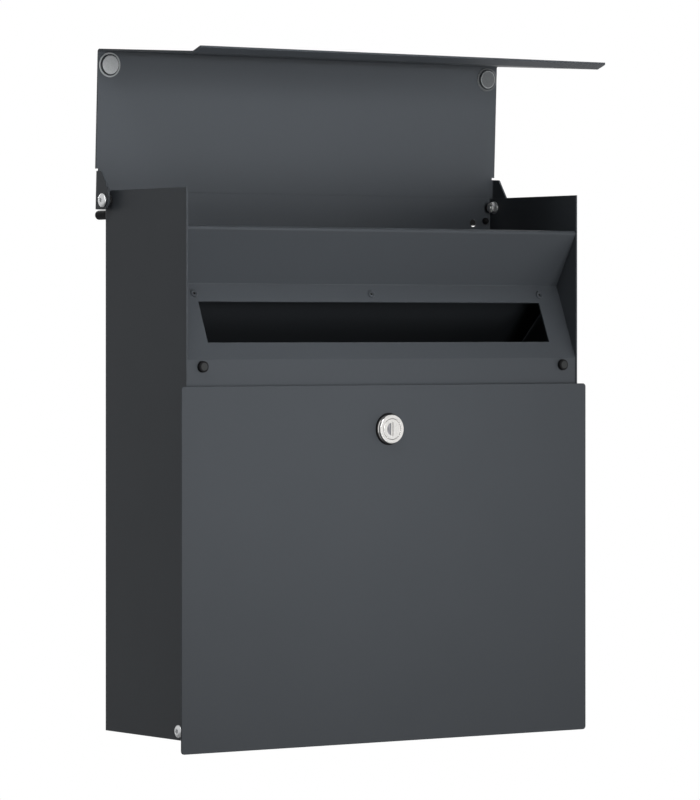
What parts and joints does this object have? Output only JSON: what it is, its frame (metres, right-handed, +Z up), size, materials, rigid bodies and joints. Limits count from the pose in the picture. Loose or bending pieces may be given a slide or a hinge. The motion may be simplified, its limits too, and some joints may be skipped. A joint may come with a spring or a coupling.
{
  "type": "wall mailbox with newspaper compartment",
  "caption": "Wall mailbox in folded sheet steel: swing-up lid, letter slot panel, newspaper space on a sloping shelf, and a drop-down front door with cam lock.",
  "frame": {"origin": "on the wall's surface, on the mailbox's centre line, level with the lower edge of the housing", "axes": "+Z up, +X to the right as seen from the front, +Y into the wall, so the door faces -Y"},
  "size_m": [0.3838, 0.1623, 0.5285],
  "materials": {
    "powder_coat": "anthracite fine-texture powder coat, satin",
    "plated_steel": "zinc plated, satin",
    "nickel": "bright nickel plate",
    "black_rubber": "matt",
    "clear_pad": "clear soft plastic over the grey sheet",
    "black_nylon": "black nylon"
  },
  "bodies": {
    "housing": {"housing_shell": "powder_coat", "bottom_tray": "powder_coat", "slot_panel": "powder_coat", "newspaper_shelf": "powder_coat", "slot_rivet_left": "powder_coat", "slot_rivet_centre": "powder_coat", "slot_rivet_right": "powder_coat", "lid_buffer_left": "black_rubber", "lid_buffer_right": "black_rubber", "wall_spacer_upper_left": "black_rubber", "wall_spacer_upper_right": "black_rubber", "wall_spacer_lower_left": "black_rubber", "wall_spacer_lower_right": "black_rubber", "lid_pivot_screw_left": "plated_steel", "lid_pivot_bush_left": "black_nylon", "lid_pivot_washer_left": "plated_steel", "lid_pivot_nut_left": "plated_steel", "lid_pivot_screw_right": "plated_steel", "lid_pivot_bush_right": "black_nylon", "lid_pivot_washer_right": "plated_steel", "lid_pivot_nut_right": "plated_steel", "door_hinge_screw_left": "plated_steel", "door_hinge_washer_left": "plated_steel", "door_hinge_nut_left": "plated_steel", "door_hinge_screw_right": "plated_steel", "door_hinge_washer_right": "plated_steel", "door_hinge_nut_right": "plated_steel"},
    "lid": {"lid_panel": "powder_coat", "lid_pad_left": "clear_pad", "lid_pad_right": "clear_pad"},
    "door": {"door_panel": "powder_coat", "door_rail_left": "powder_coat", "door_rail_right": "powder_coat", "lock_rail": "powder_coat", "lock_gasket": "black_rubber", "lock_body": "nickel", "lock_back_nut": "plated_steel"},
    "lock_core": {"lock_plug": "nickel", "lock_cam": "plated_steel", "lock_cam_screw": "plated_steel"}
  },
  "joints": [
    {"name": "lid_hinge", "type": "hinge", "parent": "housing", "child": "lid", "pos_m": [0, -0.0263, 0.4035], "axis": [1, 0, 0], "range_deg": [0, 88.2]},
    {"name": "door_hinge", "type": "hinge", "parent": "housing", "child": "door", "pos_m": [0, -0.1235, 0.0067], "axis": [1, 0, 0], "range_deg": [0, 104]},
    {"name": "lock_turn", "type": "hinge", "parent": "door", "child": "lock_core", "pos_m": [-0.0012, -0.1366, 0.2293], "axis": [0, -1, 0], "range_deg": [0, 90]}
  ]
}
